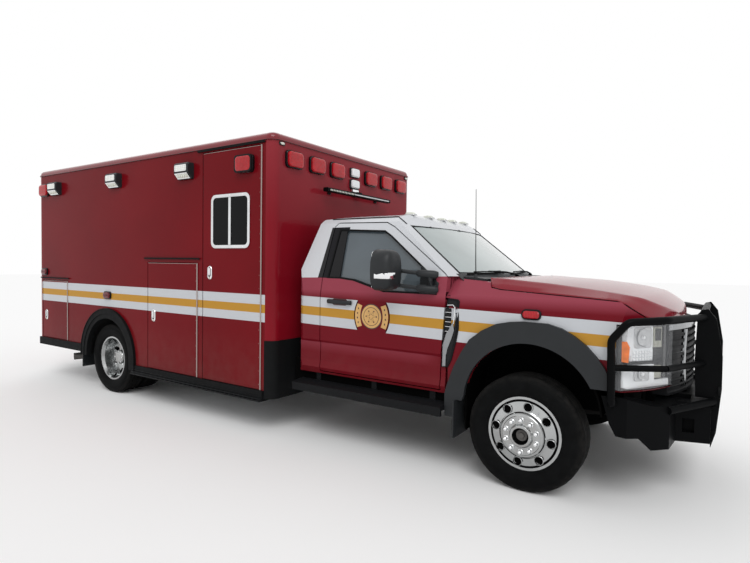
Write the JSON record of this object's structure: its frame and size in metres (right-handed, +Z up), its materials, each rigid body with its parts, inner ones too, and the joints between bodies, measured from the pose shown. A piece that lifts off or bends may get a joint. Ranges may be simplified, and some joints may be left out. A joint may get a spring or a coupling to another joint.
{
  "type": "box ambulance",
  "caption": "Box-bodied ambulance on a conventional cab chassis, with dual rear wheels, hinged hood and doors, steered front wheels and a hollow patient module.",
  "frame": {"origin": "on the ground at the middle of the vehicle in length and width", "axes": "+X forward, +Y to the vehicle's left, +Z up"},
  "size_m": [8, 2.69, 2.7399],
  "materials": {
    "red_paint": "gloss",
    "white_paint": "gloss",
    "black_trim": "satin",
    "tyre_rubber": "matte",
    "polished_wheel": "polished",
    "chassis_black": "satin",
    "cast_metal": "as cast",
    "tinted_glass": "gloss",
    "red_lens": "gloss",
    "white_lens": "gloss",
    "lamp_bezel": "gloss",
    "dark_grille": "gloss",
    "seat_cloth": "woven",
    "cabin_plastic": "matte",
    "tread_plate": "brushed"
  },
  "bodies": {
    "vehicle": {"brush_guard": "black_trim", "cab_body": "red_paint", "cab_glass": "tinted_glass", "cab_roof": "white_paint", "cabinets": "cabin_plastic", "compartment_liners": "tread_plate", "cowl": "black_trim", "dashboard": "cabin_plastic", "drivetrain": "cast_metal", "fenders": "red_paint", "flares_and_flaps": "black_trim", "flood_lamps": "white_lens", "front_axle": "chassis_black", "front_bumper": "black_trim", "grille": "dark_grille", "headlamps": "lamp_bezel", "ladder_frame": "chassis_black", "leaf_springs": "chassis_black", "light_bar": "lamp_bezel", "module_floor": "tread_plate", "module_roof": "white_paint", "module_wall_front": "red_paint", "module_wall_left": "red_paint", "module_wall_rear": "red_paint", "module_wall_right": "red_paint", "rear_axle": "chassis_black", "rear_step": "tread_plate", "rub_rails": "black_trim", "seats": "seat_cloth", "step_boards": "black_trim", "tank_and_exhaust": "chassis_black", "warning_lamps": "red_lens"},
    "knuckle_right": {"knuckle_right": "cast_metal"},
    "knuckle_left": {"knuckle_left": "cast_metal"},
    "front_wheel_right": {"front_tyre_right": "tyre_rubber", "front_rim_right": "polished_wheel"},
    "front_wheel_left": {"front_tyre_left": "tyre_rubber", "front_rim_left": "polished_wheel"},
    "rear_wheels_right": {"rear_tyres_right": "tyre_rubber", "rear_rims_right": "polished_wheel"},
    "rear_wheels_left": {"rear_tyres_left": "tyre_rubber", "rear_rims_left": "polished_wheel"},
    "cab_door_right": {"cab_door_right": "red_paint", "cab_window_right": "tinted_glass", "mirror_right": "black_trim"},
    "cab_door_left": {"cab_door_left": "red_paint", "cab_window_left": "tinted_glass", "mirror_left": "black_trim"},
    "entry_door": {"entry_door": "red_paint", "entry_window": "tinted_glass"},
    "side_door_middle_right": {"side_door_middle_right": "red_paint"},
    "side_door_rear_right": {"side_door_rear_right": "red_paint"},
    "side_door_front_left": {"side_door_front_left": "red_paint"},
    "side_door_middle_left": {"side_door_middle_left": "red_paint"},
    "side_door_rear_left": {"side_door_rear_left": "red_paint"},
    "rear_door_right": {"rear_door_right": "red_paint", "rear_window_right": "tinted_glass"},
    "rear_door_left": {"rear_door_left": "red_paint", "rear_window_left": "tinted_glass"},
    "hood": {"hood": "red_paint"}
  },
  "joints": [
    {"name": "steer_right", "type": "hinge", "parent": "vehicle", "child": "knuckle_right", "pos_m": [2.866, -0.862, 0.405], "axis": [0, 0, 1], "range_deg": [-35, 35]},
    {"name": "spin_front_right", "type": "hinge", "parent": "knuckle_right", "child": "front_wheel_right", "pos_m": [2.866, -0.95, 0.405], "axis": [0, 1, 0], "continuous": true},
    {"name": "spin_rear_right", "type": "hinge", "parent": "vehicle", "child": "rear_wheels_right", "pos_m": [-2.036, -0.94, 0.405], "axis": [0, 1, 0], "continuous": true},
    {"name": "swing_cab_door_right", "type": "hinge", "parent": "vehicle", "child": "cab_door_right", "pos_m": [2.179, -1, 1.145], "axis": [0, 0, 1], "range_deg": [0, 65]},
    {"name": "swing_rear_door_right", "type": "hinge", "parent": "vehicle", "child": "rear_door_right", "pos_m": [-3.726, -0.643, 1.71], "axis": [0, 0, 1], "range_deg": [0, 110]},
    {"name": "steer_left", "type": "hinge", "parent": "vehicle", "child": "knuckle_left", "pos_m": [2.866, 0.862, 0.405], "axis": [0, 0, 1], "range_deg": [-35, 35]},
    {"name": "spin_front_left", "type": "hinge", "parent": "knuckle_left", "child": "front_wheel_left", "pos_m": [2.866, 0.95, 0.405], "axis": [0, 1, 0], "continuous": true},
    {"name": "spin_rear_left", "type": "hinge", "parent": "vehicle", "child": "rear_wheels_left", "pos_m": [-2.036, 0.94, 0.405], "axis": [0, 1, 0], "continuous": true},
    {"name": "swing_cab_door_left", "type": "hinge", "parent": "vehicle", "child": "cab_door_left", "pos_m": [2.179, 1, 1.145], "axis": [0, 0, -1], "range_deg": [0, 65]},
    {"name": "swing_rear_door_left", "type": "hinge", "parent": "vehicle", "child": "rear_door_left", "pos_m": [-3.726, 0.643, 1.71], "axis": [0, 0, -1], "range_deg": [0, 110]},
    {"name": "swing_entry_door", "type": "hinge", "parent": "vehicle", "child": "entry_door", "pos_m": [0.488, -1.218, 1.514], "axis": [0, 0, 1], "range_deg": [0, 100]},
    {"name": "swing_side_door_middle_right", "type": "hinge", "parent": "vehicle", "child": "side_door_middle_right", "pos_m": [-0.408, -1.218, 0.9735], "axis": [0, 0, 1], "range_deg": [0, 100]},
    {"name": "swing_side_door_rear_right", "type": "hinge", "parent": "vehicle", "child": "side_door_rear_right", "pos_m": [-2.958, -1.218, 0.916], "axis": [0, 0, 1], "range_deg": [0, 100]},
    {"name": "swing_side_door_front_left", "type": "hinge", "parent": "vehicle", "child": "side_door_front_left", "pos_m": [0.488, 1.218, 1.514], "axis": [0, 0, -1], "range_deg": [0, 100]},
    {"name": "swing_side_door_middle_left", "type": "hinge", "parent": "vehicle", "child": "side_door_middle_left", "pos_m": [-0.408, 1.218, 0.9735], "axis": [0, 0, -1], "range_deg": [0, 100]},
    {"name": "swing_side_door_rear_left", "type": "hinge", "parent": "vehicle", "child": "side_door_rear_left", "pos_m": [-2.958, 1.218, 0.916], "axis": [0, 0, -1], "range_deg": [0, 100]},
    {"name": "lift_hood", "type": "hinge", "parent": "vehicle", "child": "hood", "pos_m": [2.514, 0, 1.432], "axis": [0, -1, 0], "range_deg": [0, 50]}
  ],
  "couplings": [
    {"joint": "steer_left", "follows": "steer_right", "ratio": 1}
  ]
}
